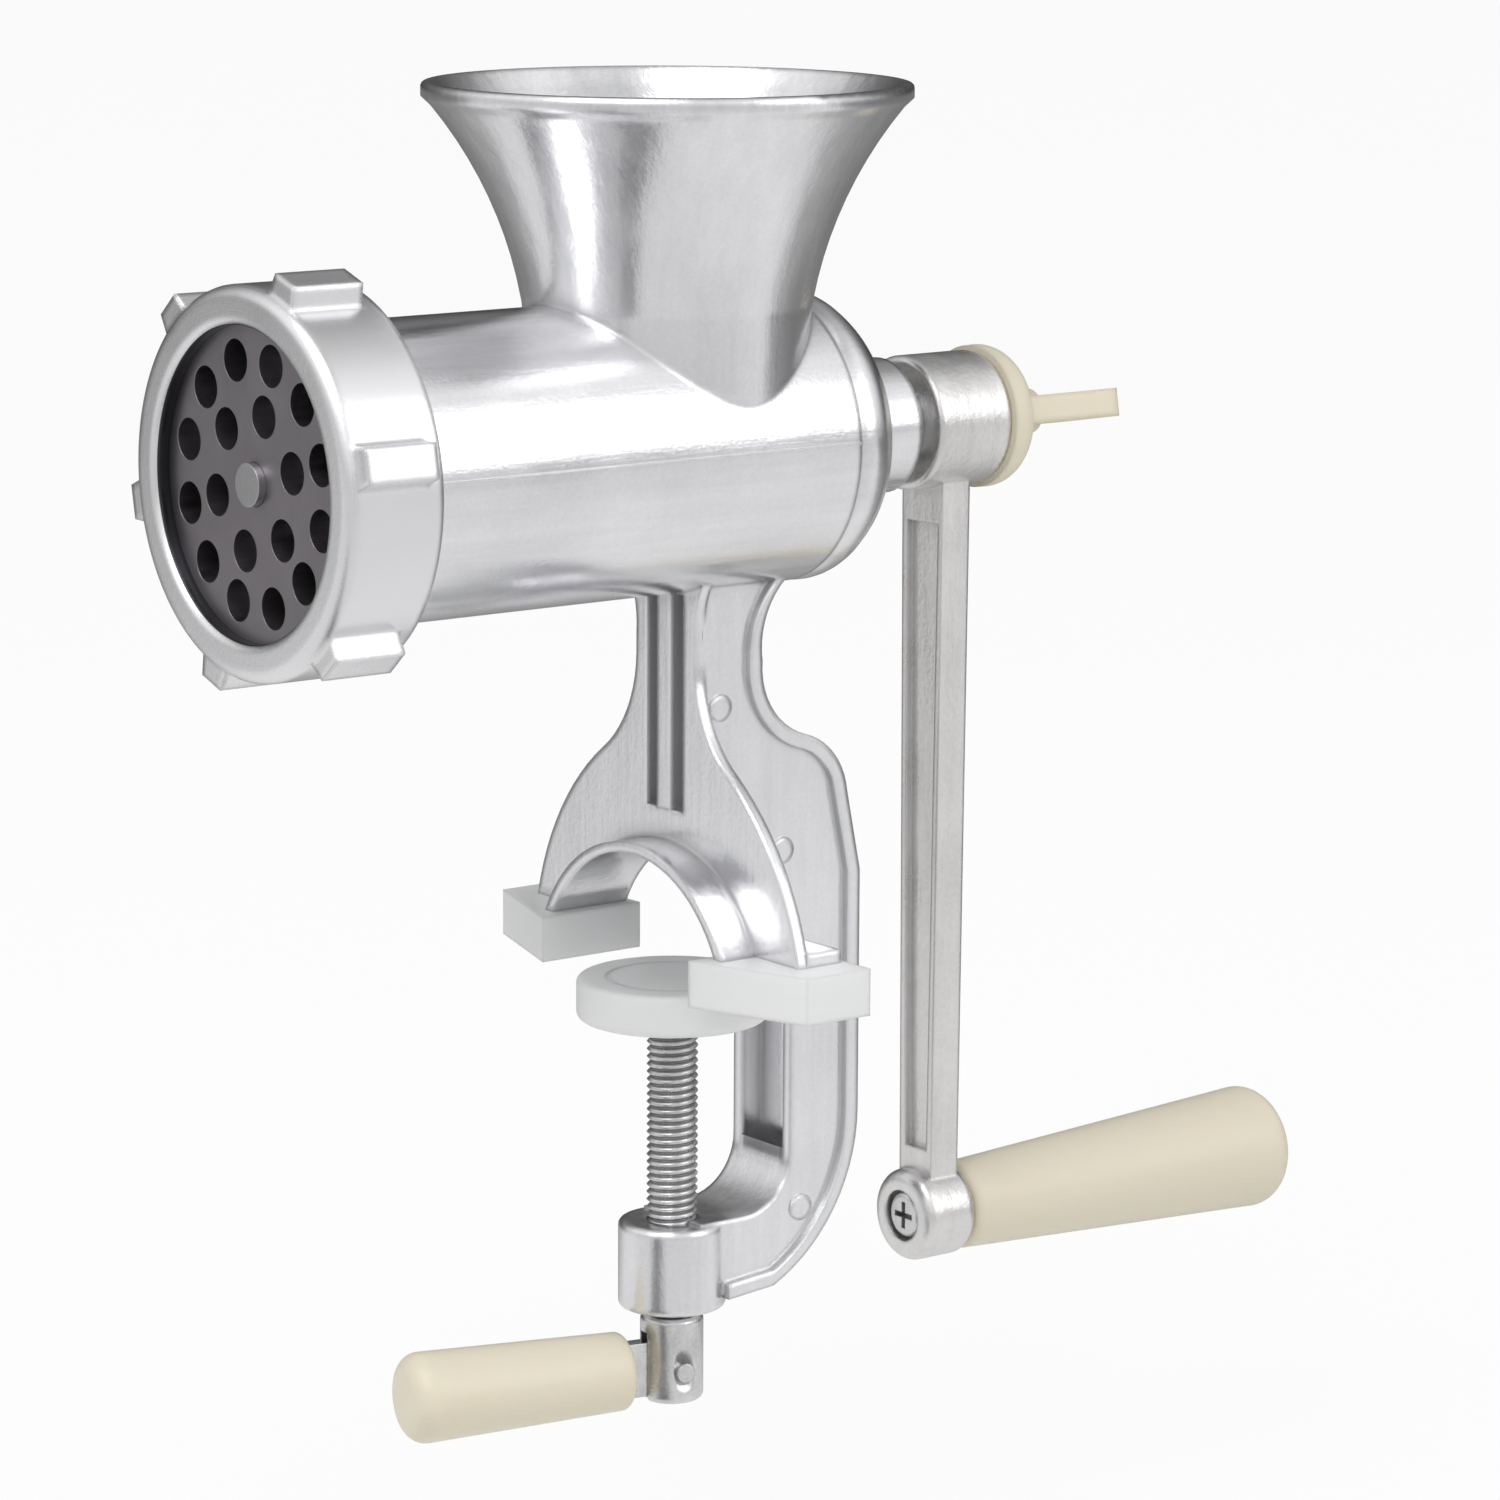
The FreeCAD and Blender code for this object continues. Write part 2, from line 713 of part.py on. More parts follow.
# The feed worm with its helical flight.
worm = new_body("feed_worm")
along_barrel(worm)
turn(worm, Drawing(worm, "YZ_Plane", "core_outline_worm").outline([
    (-knife_back, d.spigot_radius + d.seated_gap),
    (-knife_back, d.worm_core),
    (d.worm_back - d.worm_collar_depth, d.worm_core),
    (d.worm_back - d.worm_collar_depth, d.worm_collar),
    (d.worm_back, d.worm_collar),
    (d.worm_back, d.root_radius + d.seated_gap),
    (d.root_front, d.root_radius + d.seated_gap),
    (d.root_front, d.spigot_radius + d.seated_gap),
]), "H_Axis", "worm_core_solid")
pad(worm, Drawing(worm, "XZ_Plane", "stub_outline", (zero, zero, plate_back)).outline(
    box_corners(-d.square_half, -d.square_half, d.square_half, d.square_half)).circle(
    zero, zero, d.spigot_radius + d.seated_gap), d.knife_depth + d.flight_sink, "square_stub", back=True)
flight_drawing = Drawing(worm, "YZ_Plane", "flight_outline").outline([
    (-flight_start, d.worm_core - d.flight_sink),
    (d.flight_root - flight_start, d.worm_core - d.flight_sink),
    (d.flight_tip - flight_start, d.worm_radius),
    (-flight_start, d.worm_radius),
])
flight = feature(worm, "AdditiveHelix", flight_drawing, "flight")
flight.ReferenceAxis = (origin(worm, "Y_Axis"), [""])
flight.Mode = "pitch-height-angle"
flight.LeftHanded = True
flight.setExpression("Pitch", d.flight_pitch.text)
flight.setExpression("Height", (flight_start + d.flight_end).text)

spigot = new_body("worm_spigot")
along_barrel(spigot)
spigot_front = plate_front + d.spigot_proud
pad(spigot, Drawing(spigot, "XZ_Plane", "spigot_outline", (zero, zero, spigot_front))
    .circle(zero, zero, d.spigot_radius), d.spigot_length, "spigot", back=True)

# The drive shaft, its thrust washer and the neck bush.
shaft = new_body("drive_shaft")
along_barrel(shaft)
turn(shaft, Drawing(shaft, "YZ_Plane", "shaft_outline").outline([
    (d.root_front, zero),
    (d.root_front, d.root_radius),
    (d.worm_back, d.root_radius),
    (d.worm_back, d.journal_radius),
    (d.hub_front, d.journal_radius),
    (d.hub_front, zero),
]), "H_Axis", "journal")
pad(shaft, Drawing(shaft, "XZ_Plane", "tang_outline", (zero, zero, -d.hub_front)).outline(
    box_corners(-d.tang_half, -d.tang_half, d.tang_half, d.tang_half)),
    d.tang_back - d.hub_front, "square_tang", back=True)
pocket(shaft, Drawing(shaft, "XZ_Plane", "tapping_outline", (zero, zero, -d.tang_back))
       .circle(zero, zero, d.stud_radius + d.seated_gap), d.tang_back - d.stud_front + d.loose_gap,
       "tapping", back=True)

washer = new_body("thrust_washer")
along_barrel(washer)
pad(washer, Drawing(washer, "XZ_Plane", "washer_outline", (zero, zero, -d.worm_back))
    .circle(zero, zero, d.washer_radius)
    .circle(zero, zero, d.journal_radius + d.loose_gap), d.rear_wall - d.worm_back, "washer", back=True)

bush = new_body("neck_bush")
along_barrel(bush)
pad(bush, Drawing(bush, "XZ_Plane", "bush_outline", (zero, zero, -d.rear_wall))
    .circle(zero, zero, d.bush_radius)
    .circle(zero, zero, d.journal_radius + d.running_gap), d.neck_back - d.rear_wall, "bush", back=True)

# The crank arm with its hub, beam and handle eye.
crank = new_body("crank_arm")
along_barrel(crank)
turn(crank, Drawing(crank, "YZ_Plane", "hub_outline").outline([
    (d.hub_front, zero),
    (d.hub_front, d.hub_radius - d.hub_edge, -d.hub_edge),
    (d.hub_front + d.hub_edge, d.hub_radius),
    (d.hub_back - d.hub_edge, d.hub_radius, -d.hub_edge),
    (d.hub_back, d.hub_radius - d.hub_edge),
    (d.hub_back, zero),
]), "H_Axis", "hub")
pad(crank, Drawing(crank, "XZ_Plane", "beam_outline", (zero, zero, -d.beam_front)).outline([
    (-d.beam_top_half, zero),
    (-d.beam_low_half, -d.crank_reach),
    (d.beam_low_half, -d.crank_reach),
    (d.beam_top_half, zero),
]), d.beam_depth, "beam", back=True)
eye_at = (zero, -d.crank_reach, zero)
turn(crank, Drawing(crank, "YZ_Plane", "eye_outline", eye_at).outline([
    (d.eye_front, zero),
    (d.eye_front, d.eye_radius - d.eye_round, -d.eye_round),
    (d.eye_front + d.eye_round, d.eye_radius),
    (d.eye_back - d.eye_round, d.eye_radius, -d.eye_round),
    (d.eye_back, d.eye_radius - d.eye_round),
    (d.eye_back, zero),
]), "H_Axis", "eye")
for start, back, name in ((d.beam_front, True, "front"), (d.beam_front + d.beam_depth, False, "back")):
    pocket(crank, Drawing(crank, "XZ_Plane", name + "_channel_outline", (zero, zero, -start)).outline([
        (d.beam_web - d.beam_top_half, -d.channel_top),
        (d.beam_web - d.beam_low_half, -d.channel_low),
        (d.beam_low_half - d.beam_web, -d.channel_low),
        (d.beam_top_half - d.beam_web, -d.channel_top),
    ]), d.beam_channel, name + "_channel", back=not back)
hub_hole = d.tang_half + d.running_gap
pocket(crank, Drawing(crank, "XZ_Plane", "hub_hole_outline", (zero, zero, -d.hub_front)).outline(
    box_corners(-hub_hole, -hub_hole, hub_hole, hub_hole)), d.hub_back - d.hub_front, "hub_hole")
cut_round(crank, Drawing(crank, "YZ_Plane", "eye_bore_outline", eye_at).outline([
    (d.eye_front - d.loose_gap, zero),
    (d.eye_front - d.loose_gap, d.screw_recess),
    (d.eye_front + d.recess_depth, d.screw_recess),
    (d.eye_front + d.recess_depth, d.handle_screw_radius + d.running_gap),
    (d.eye_back + d.loose_gap, d.handle_screw_radius + d.running_gap),
    (d.eye_back + d.loose_gap, zero),
]), "H_Axis", "eye_bore")

# The thumb screw that holds the crank, and its steel stud.
thumb = new_body("thumb_screw")
along_barrel(thumb)
swing(thumb, Vector(0, -1, 0), d.wing_tilt)
flange_back = d.hub_back + d.thumb_flange_depth
turn(thumb, Drawing(thumb, "YZ_Plane", "thumb_outline").outline([
    (d.hub_back, zero),
    (d.hub_back, d.thumb_flange),
    (d.hub_back + d.thumb_rim, d.thumb_flange, -d.thumb_flange_bend),
    (flange_back, d.thumb_flange - d.thumb_taper, d.thumb_cone_bend),
    (d.thumb_cone_back, d.thumb_cone_radius),
    (d.thumb_cone_back, zero),
]), "H_Axis", "thumb_flange_solid")
pad(thumb, Drawing(thumb, "XY_Plane", "wing_outline").outline([
    (-d.wing_root_half, d.wing_front),
    (d.wing_root_half, d.wing_front),
    (d.wing_tip_half, d.wing_back - d.wing_corner, d.wing_corner),
    (d.wing_tip_half - d.wing_corner, d.wing_back),
    (d.wing_corner - d.wing_tip_half, d.wing_back, d.wing_corner),
    (-d.wing_tip_half, d.wing_back - d.wing_corner),
]), d.wing_depth, "wing", both=True)
pocket(thumb, Drawing(thumb, "XZ_Plane", "stud_hole_outline", (zero, zero, -d.hub_back))
       .circle(zero, zero, d.stud_radius + d.seated_gap), d.stud_back - d.hub_back, "stud_hole")

stud = new_body("thumb_stud")
along_barrel(stud)
pad(stud, Drawing(stud, "XZ_Plane", "stud_outline", (zero, zero, -d.stud_front))
    .circle(zero, zero, d.stud_radius), d.stud_back - d.stud_front, "stud", back=True)

# The crank handle: grip, threaded insert and the screw through the eye.
grip = new_body("crank_grip")
place(grip, z=d.axis_height - d.crank_reach)
turn(grip, Drawing(grip, "YZ_Plane", "grip_outline").outline([
    (d.grip_front, zero),
    (d.grip_front, d.grip_small - d.grip_nose, -d.grip_nose),
    (d.grip_front + d.grip_nose, d.grip_small),
    (d.grip_back - d.grip_round, d.grip_large, -d.grip_round),
    (d.grip_back, d.grip_large - d.grip_round),
    (d.grip_back, zero),
]), "H_Axis", "grip")
cut_round(grip, Drawing(grip, "YZ_Plane", "grip_bore_outline").outline([
    (d.grip_front - d.loose_gap, zero),
    (d.grip_front - d.loose_gap, d.insert_radius + d.seated_gap),
    (d.insert_back, d.insert_radius + d.seated_gap),
    (d.insert_back, zero),
]), "H_Axis", "grip_bore")

insert = new_body("handle_insert")
place(insert, z=d.axis_height - d.crank_reach)
turn(insert, Drawing(insert, "YZ_Plane", "insert_outline").outline([
    (d.grip_front, d.handle_screw_radius + d.seated_gap),
    (d.grip_front, d.insert_radius),
    (d.insert_back, d.insert_radius),
    (d.insert_back, zero),
    (d.handle_screw_back, zero),
    (d.handle_screw_back, d.handle_screw_radius + d.seated_gap),
]), "H_Axis", "insert")

bolt = new_body("handle_screw")
place(bolt, z=d.axis_height - d.crank_reach)
head_back = d.eye_front + d.recess_depth
head_front = head_back - d.handle_head_depth
turn(bolt, Drawing(bolt, "YZ_Plane", "bolt_outline").outline([
    (head_front, zero),
    (head_front, d.handle_head_radius - d.handle_head_round, -d.handle_head_round),
    (head_front + d.handle_head_round, d.handle_head_radius),
    (head_back, d.handle_head_radius),
    (head_back, d.handle_screw_radius),
    (d.handle_screw_back, d.handle_screw_radius),
    (d.handle_screw_back, zero),
]), "H_Axis", "bolt")

# The clamp screw with its forked foot.
screw = new_body("clamp_screw")
swing(screw, Vector(0, 0, -1), d.handle_swing)
neck_top = d.fork_top - d.fork_round
pad_low = d.pad_top + d.pad_depth
turn(screw, Drawing(screw, "YZ_Plane", "screw_outline").outline([
    (zero, -d.fork_bottom),
    (d.fork_radius - d.fork_round, -d.fork_bottom, d.fork_round),
    (d.fork_radius, d.fork_round - d.fork_bottom),
    (d.fork_radius, -d.fork_top - d.fork_round, d.fork_round),
    (d.fork_radius - d.fork_round, -d.fork_top),
    (d.screw_neck, -d.fork_top),
    (d.screw_neck, -neck_top),
    (d.screw_radius, d.fork_round * 2 - d.fork_top),
    (d.screw_radius, -pad_low),
    (d.tip_radius, -pad_low),
    (d.tip_radius, -d.screw_top),
    (zero, -d.screw_top),
]), "V_Axis", "screw")
pocket(screw, Drawing(screw, "YZ_Plane", "slot_outline").outline(
    box_corners(-d.fork_radius * 2, -d.fork_bottom - d.loose_gap, d.fork_radius * 2, -d.slot_top)),
    d.slot_half * 2, "slot", both=True)
pocket(screw, Drawing(screw, "YZ_Plane", "rivet_hole_outline").circle(
    zero, -d.rivet_height, d.rivet_radius + d.seated_gap), d.fork_radius * 4, "rivet_hole", both=True)

# The swivelling clamp pad that turns on the tip of the screw.
foot = new_body("clamp_pad")
turn(foot, Drawing(foot, "YZ_Plane", "pad_outline").outline([
    (d.tip_radius + d.running_gap, -pad_low),
    (d.pad_radius - d.pad_round, -pad_low, d.pad_round),
    (d.pad_radius, d.pad_round - pad_low),
    (d.pad_radius, -d.pad_top - d.pad_edge, d.pad_edge),
    (d.pad_radius - d.pad_edge, -d.pad_top),
    (zero, -d.pad_top),
    (zero, -d.screw_top),
    (d.tip_radius + d.running_gap, -d.screw_top),
]), "V_Axis", "pad_disc")

# The folding clamp handle: tang, grip and rivet.
tang = new_body("clamp_tang")
swing(tang, Vector(0, 0, -1), d.handle_swing)
place(tang, z=-d.rivet_height)
pad(tang, Drawing(tang, "YZ_Plane", "tang_side").outline([
    (-d.tang_reach, d.tang_tall_half),
    (-d.tang_reach, -d.tang_tall_half),
    (zero, -d.tang_tall_half, d.tang_nose),
    (zero, d.tang_tall_half),
]), d.tang_thick_half * 2, "tang", both=True)
pocket(tang, Drawing(tang, "YZ_Plane", "tang_hole_outline").circle(
    zero, zero, d.rivet_radius + d.running_gap), d.tang_thick_half * 4, "tang_hole", both=True)

lever = new_body("clamp_grip")
swing(lever, Vector(0, 0, -1), d.handle_swing)
place(lever, z=-d.rivet_height)
turn(lever, Drawing(lever, "YZ_Plane", "lever_outline").outline([
    (-d.lever_back, zero),
    (-d.lever_back, d.lever_large - d.lever_round, -d.lever_round),
    (d.lever_round - d.lever_back, d.lever_large),
    (-d.lever_front - d.lever_nose, d.lever_small, -d.lever_nose),
    (-d.lever_front, d.lever_small - d.lever_nose),
    (-d.lever_front, zero),
]), "H_Axis", "lever")
lever_slot = d.tang_thick_half + d.seated_gap
pocket(lever, Drawing(lever, "YZ_Plane", "lever_slot_outline").outline(
    box_corners(-d.tang_reach - d.seated_gap, -d.tang_tall_half - d.seated_gap, zero,
                d.tang_tall_half + d.seated_gap)), lever_slot * 2, "lever_slot", both=True)

rivet = new_body("tang_rivet")
swing(rivet, Vector(0, 0, -1), d.handle_swing)
place(rivet, z=-d.rivet_height)
rivet_half = d.fork_radius + d.rivet_proud
pad(rivet, Drawing(rivet, "YZ_Plane", "rivet_outline").circle(zero, zero, d.rivet_radius),
    rivet_half * 2, "rivet", both=True)

# The two jaw pads under the feet.
for side, label in ((1, "jaw_pad_near"), (-1, "jaw_pad_far")):
    jaw = new_body(label)
    pad(jaw, Drawing(jaw, "XY_Plane", label + "_outline").outline([
        (d.jaw_inner * side, -d.jaw_front),
        (d.jaw_outer * side, -d.jaw_front_outer),
        (d.jaw_outer * side, d.jaw_back),
        (d.jaw_inner * side, d.jaw_back),
    ]), d.jaw_depth, label + "_block")

doc.recompute()
os.makedirs("parts", exist_ok=True)
for item in doc.Objects:
    if "Invalid" in item.State or "Error" in item.State:
        raise RuntimeError("%s did not build: %s" % (item.Name, item.State))
for item in doc.Objects:
    if item.TypeId != "PartDesign::Body":
        continue
    if item.Shape.isNull() or not item.Shape.isValid() or not item.Shape.Solids:
        raise RuntimeError(item.Label + " has no sound solid")
    item.Shape.exportStep("parts/%s.step" % item.Label)
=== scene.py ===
import bpy
import bmesh
import json
import math
from mathutils import Matrix, Vector

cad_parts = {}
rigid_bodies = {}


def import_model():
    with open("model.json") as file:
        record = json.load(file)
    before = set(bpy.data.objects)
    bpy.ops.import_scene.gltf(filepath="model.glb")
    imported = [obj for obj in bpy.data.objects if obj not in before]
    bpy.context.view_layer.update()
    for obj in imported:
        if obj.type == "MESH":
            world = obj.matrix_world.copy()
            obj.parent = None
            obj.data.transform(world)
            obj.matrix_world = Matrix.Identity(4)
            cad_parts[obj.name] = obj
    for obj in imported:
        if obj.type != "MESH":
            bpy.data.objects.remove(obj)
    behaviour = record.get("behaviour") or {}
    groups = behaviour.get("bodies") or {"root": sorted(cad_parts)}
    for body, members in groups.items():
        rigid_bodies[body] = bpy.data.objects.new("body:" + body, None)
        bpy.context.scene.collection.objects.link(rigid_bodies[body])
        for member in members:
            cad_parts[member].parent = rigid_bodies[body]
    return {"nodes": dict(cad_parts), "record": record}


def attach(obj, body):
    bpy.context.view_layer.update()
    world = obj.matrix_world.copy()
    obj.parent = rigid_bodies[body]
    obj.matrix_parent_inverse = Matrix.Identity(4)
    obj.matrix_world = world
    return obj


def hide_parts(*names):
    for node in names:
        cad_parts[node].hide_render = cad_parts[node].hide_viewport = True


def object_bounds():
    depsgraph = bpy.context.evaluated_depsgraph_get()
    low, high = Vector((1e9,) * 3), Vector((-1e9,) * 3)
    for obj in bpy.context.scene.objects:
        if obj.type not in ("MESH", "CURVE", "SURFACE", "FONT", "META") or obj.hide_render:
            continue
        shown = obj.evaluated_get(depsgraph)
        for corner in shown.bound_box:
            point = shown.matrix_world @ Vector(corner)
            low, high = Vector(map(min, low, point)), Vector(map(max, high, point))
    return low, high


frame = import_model()
cadLow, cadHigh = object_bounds()
nodes = frame["nodes"]
scene = bpy.context.scene
scene.view_settings.view_transform = "Standard"


# a socket that takes part in sums: each operator adds one Math node
class Sock:
    def __init__(self, paint, out):
        self.paint = paint
        self.out = out

    def maths(self, operation, first, second):
        made = self.paint.node("ShaderNodeMath", {"operation": operation}, {0: first, 1: second})
        return made["Value"]

    def __add__(self, other):
        return self.maths("ADD", self, other)

    __radd__ = __add__

    def __sub__(self, other):
        return self.maths("SUBTRACT", self, other)

    def __rsub__(self, other):
        return self.maths("SUBTRACT", other, self)

    def __mul__(self, other):
        return self.maths("MULTIPLY", self, other)

    def __pow__(self, other):
        return self.maths("POWER", self, other)

    def larger(self, other):
        return self.maths("MAXIMUM", self, other)

    def unit(self):  # from -1..1 to 0..1
        return self * 0.5 + 0.5


# a shader node whose outputs are read as sockets for sums
class Made:
    def __init__(self, paint, made):
        self.paint = paint
        self.made = made

    def __getitem__(self, key):
        return Sock(self.paint, self.made.outputs[key])


# one node tree being painted: node() makes any node, the rest are the few that repeat
class Paint:
    def __init__(self, tree):
        self.tree = tree
        self.tree.nodes.clear()

    def node(self, kind, settings, values):
        made = self.tree.nodes.new(kind)
        for key, value in settings.items():
            if key == "stops":
                self.setStops(made.color_ramp, value)
            else:
                setattr(made, key, value)
        for key, value in values.items():
            if isinstance(value, Sock):
                self.tree.links.new(value.out, made.inputs[key])
            else:
                made.inputs[key].default_value = value
        return Made(self, made)

    def setStops(self, ramp, stops):
        while len(ramp.elements) < len(stops):
            ramp.elements.new(1.0)
        for element, (place, level) in zip(ramp.elements, stops):
            element.position = place
            element.color = (level, level, level, 1.0)

    def place(self, stretch=(1.0, 1.0, 1.0), shift=(0.0, 0.0, 0.0)):
        coords = self.node("ShaderNodeTexCoord", {}, {})["Object"]
        values = {"Vector": coords, "Location": shift, "Scale": stretch}
        return self.node("ShaderNodeMapping", {}, values)["Vector"]

    def noise(self, scale, detail, roughness, stretch=(1.0, 1.0, 1.0)):
        values = {"Vector": self.place(stretch), "Scale": scale, "Detail": detail, "Roughness": roughness}
        return self.node("ShaderNodeTexNoise", {}, values)["Fac"]

    def ramp(self, value, stops):
        return self.node("ShaderNodeValToRGB", {"stops": stops}, {"Fac": value})["Color"]

    def mix(self, factor, first, second):
        colours = [value if isinstance(value, Sock) else (*value, 1.0) for value in (first, second)]
        values = {0: factor, 6: colours[0], 7: colours[1]}  # the sockets of a colour mix
        return self.node("ShaderNodeMix", {"data_type": "RGBA"}, values)[2]

    # distance from the barrel's axis
    def barrelRadius(self, axisHeight):
        centred = self.place(shift=(0.0, 0.0, -axisHeight))
        parts = self.node("ShaderNodeSeparateXYZ", {}, {"Vector": centred})
        return (parts["X"] ** 2.0 + parts["Z"] ** 2.0) ** 0.5

    # 1 between low and high, falling to 0 over soft on either side
    def between(self, value, low, high, soft):
        def step(start, end, first, last):
            values = {"Value": value, "From Min": start, "From Max": end, "To Min": first, "To Max": last}
            return self.node("ShaderNodeMapRange", {"interpolation_type": "SMOOTHSTEP"}, values)["Result"]

        rise = step(low - soft, low, 0.0, 1.0)
        fall = step(high, high + soft, 1.0, 0.0)
        return rise * fall

    # 1 in a corner or groove, 0 on an open face: the mask for painted shade in corners
    def crevice(self, reach):
        settings = {"samples": edgeSamples, "only_local": True}
        openness = self.node("ShaderNodeAmbientOcclusion", settings, {"Distance": reach})["AO"]
        return self.ramp(openness, creviceStops)

    def bump(self, height, depth, edge):
        softened = self.node("ShaderNodeBevel", {"samples": edgeSamples}, {"Radius": edge})["Normal"]
        values = {"Height": height, "Distance": depth, "Strength": 1.0, "Normal": softened}
        return self.node("ShaderNodeBump", {}, values)["Normal"]

    def surface(self, values):
        shader = self.node("ShaderNodeBsdfPrincipled", {}, values)["BSDF"]
        self.node("ShaderNodeOutputMaterial", {}, {"Surface": shader})


edgeSamples = 6  # rays for soft edges and corners
creviceStops = [(0.35, 1.0), (0.85, 0.0)]
noiseMean = 0.5


def newMaterial(name):
    material = bpy.data.materials.new(name)
    material.use_nodes = True
    return material, Paint(material.node_tree)


# cast and plated metal: cloudy polish, polishing streaks, fine grain, painted shade in corners and soft edges
castBlend = {"cloud": 0.45, "grain": 0.2, "streak": 0.35, "stops": [(0.36, 0.0), (0.62, 1.0)]}


def castMetal(name, finish):
    material, paint = newMaterial(name)
    cloud = paint.noise(finish["cloudScale"], detail=4.0, roughness=0.55)
    grain = paint.noise(finish["grainScale"], detail=3.0, roughness=0.65)
    streak = paint.noise(finish["streakScale"], detail=3.0, roughness=0.6, stretch=finish["streakStretch"])
    if "lyingRadius" in finish:  # on the barrel the streaks lie along its axis
        lying = paint.noise(finish["streakScale"], detail=3.0, roughness=0.6, stretch=finish["lyingStretch"])
        radius = paint.barrelRadius(finish["axisHeight"])
        share = paint.between(radius, 0.0, finish["lyingRadius"], finish["lyingSoft"])
        streak = lying * share + streak * (1 - share)
    tone = cloud * castBlend["cloud"] + grain * castBlend["grain"] + streak * castBlend["streak"]
    clean = paint.mix(paint.ramp(tone, castBlend["stops"]), finish["shade"], finish["colour"])
    relief = grain + cloud * finish["ripple"] + streak * finish["streakDepth"]
    cornerShade = paint.crevice(finish["crevice"]) * finish["grime"]  # painted shade: corners darkened by ambient occlusion, and less metallic there
    uneven = (cloud - noiseMean) * finish["roughSpan"]
    brushed = (streak - noiseMean) * finish["streakRough"]
    paint.surface({
        "Base Color": paint.mix(cornerShade, clean, finish["dark"]),
        "Metallic": 1 - cornerShade,
        "Roughness": finish["rough"] + uneven + brushed,
        "Normal": paint.bump(relief, finish["grainDepth"], finish["edge"]),
    })
    return material


# turned faces carry fine rings about the barrel's axis
turnedBlend = {"cloud": 0.6, "rings": 0.4, "ringRelief": 0.12, "grainRelief": 0.5}


def turnedMetal(name, finish):
    material, paint = newMaterial(name)
    radius = paint.barrelRadius(finish["axisHeight"])
    values = {"W": radius * finish["ringScale"], "Scale": 1.0, "Detail": 2.0}
    rings = paint.node("ShaderNodeTexNoise", {"noise_dimensions": "1D"}, values)["Fac"]
    cloud = paint.noise(finish["cloudScale"], detail=4.0, roughness=0.6)
    grain = paint.noise(finish["grainScale"], detail=2.0, roughness=0.6)
    blend = cloud * turnedBlend["cloud"] + rings * turnedBlend["rings"]
    tone = paint.mix(blend, finish["shade"], finish["colour"])
    if "boreRadius" in finish:  # painted shadow: the wall of the opening is coloured dark
        boreShadow = paint.between(radius, 0.0, finish["boreRadius"], finish["boreSoft"])
        tone = paint.mix(boreShadow, tone, finish["boreColour"])
    turned = (rings - noiseMean) * finish["roughSpan"]
    uneven = (cloud - noiseMean) * finish["roughSpan"]
    relief = rings * turnedBlend["ringRelief"] + grain * turnedBlend["grainRelief"]
    paint.surface({
        "Base Color": tone,
        "Metallic": 1.0,
        "Roughness": finish["rough"] + turned + uneven,
        "Normal": paint.bump(relief, finish["grainDepth"], finish["edge"]),
    })
    return material


# moulded plastic: faint cloud in the colour, satin skin
plasticBlend = {"half": 0.5, "ior": 1.5}


def mouldedPlastic(name, finish):
    material, paint = newMaterial(name)
    cloud = paint.noise(finish["cloudScale"], detail=3.0, roughness=0.5)
    grain = paint.noise(finish["grainScale"], detail=3.0, roughness=0.6)
    flow = paint.noise(finish["flowScale"], detail=2.0, roughness=0.5, stretch=finish["flowStretch"])
    half = plasticBlend["half"]
    relief = grain * half + flow * half
    paint.surface({
        "Base Color": paint.mix(cloud * half + flow * half, finish["shade"], finish["colour"]),
        "Roughness": finish["rough"] + (grain - noiseMean) * finish["roughSpan"],
        "Normal": paint.bump(relief, finish["grainDepth"], finish["edge"]),
        "Subsurface Weight": finish["glow"],
        "Subsurface Radius": finish["glowColour"],
        "Subsurface Scale": finish["glowDepth"],
        "IOR": plasticBlend["ior"],
    })
    return material


# cast finishes: dark is the colour of the painted shade in corners, crevice is its reach, and the key after
# crevice sets how much of it is painted
polishedCasting = {
    "colour": (0.86, 0.86, 0.875), "shade": (0.72, 0.72, 0.74), "dark": (0.26, 0.26, 0.275),
    "rough": 0.20, "roughSpan": 0.14, "streakRough": 0.16, "streakDepth": 2.2,
    "cloudScale": 38.0, "grainScale": 1300.0, "streakScale": 260.0, "streakStretch": (1.0, 1.0, 0.08),
    "axisHeight": 0.103, "lyingRadius": 0.0286, "lyingSoft": 0.0008, "lyingStretch": (1.0, 0.06, 1.0),
    "ripple": 5.0, "grainDepth": 0.00003, "edge": 0.0016, "crevice": 0.006, "grime": 0.6,
}
sandyCasting = {
    "colour": (0.86, 0.85, 0.845), "shade": (0.68, 0.67, 0.665), "dark": (0.24, 0.235, 0.23),
    "rough": 0.30, "roughSpan": 0.2, "streakRough": 0.16, "streakDepth": 1.0,
    "cloudScale": 60.0, "grainScale": 900.0, "streakScale": 240.0, "streakStretch": (1.0, 1.0, 0.1),
    "ripple": 0.8, "grainDepth": 0.00008, "edge": 0.0009, "crevice": 0.004, "grime": 0.45,
}
wormCasting = {
    "colour": (0.70, 0.70, 0.71), "shade": (0.46, 0.46, 0.47), "dark": (0.2, 0.2, 0.2),
    "rough": 0.36, "roughSpan": 0.15, "streakRough": 0.1, "streakDepth": 0.5,
    "cloudScale": 70.0, "grainScale": 1000.0, "streakScale": 200.0, "streakStretch": (1.0, 1.0, 1.0),
    "ripple": 0.6, "grainDepth": 0.00008, "edge": 0.0006, "crevice": 0.005, "grime": 0.5,
}
satinRing = {
    "axisHeight": 0.103,
    "colour": (0.88, 0.88, 0.895), "shade": (0.76, 0.76, 0.775),
    "rough": 0.26, "roughSpan": 0.12, "ringScale": 3600.0,
    "cloudScale": 50.0, "grainScale": 1200.0, "grainDepth": 0.00003, "edge": 0.0018,
    # painted shadow on the wall of the opening: its radius, soft edge and dark colour
    "boreRadius": 0.0289, "boreSoft": 0.0001, "boreColour": (0.07, 0.07, 0.075),
}
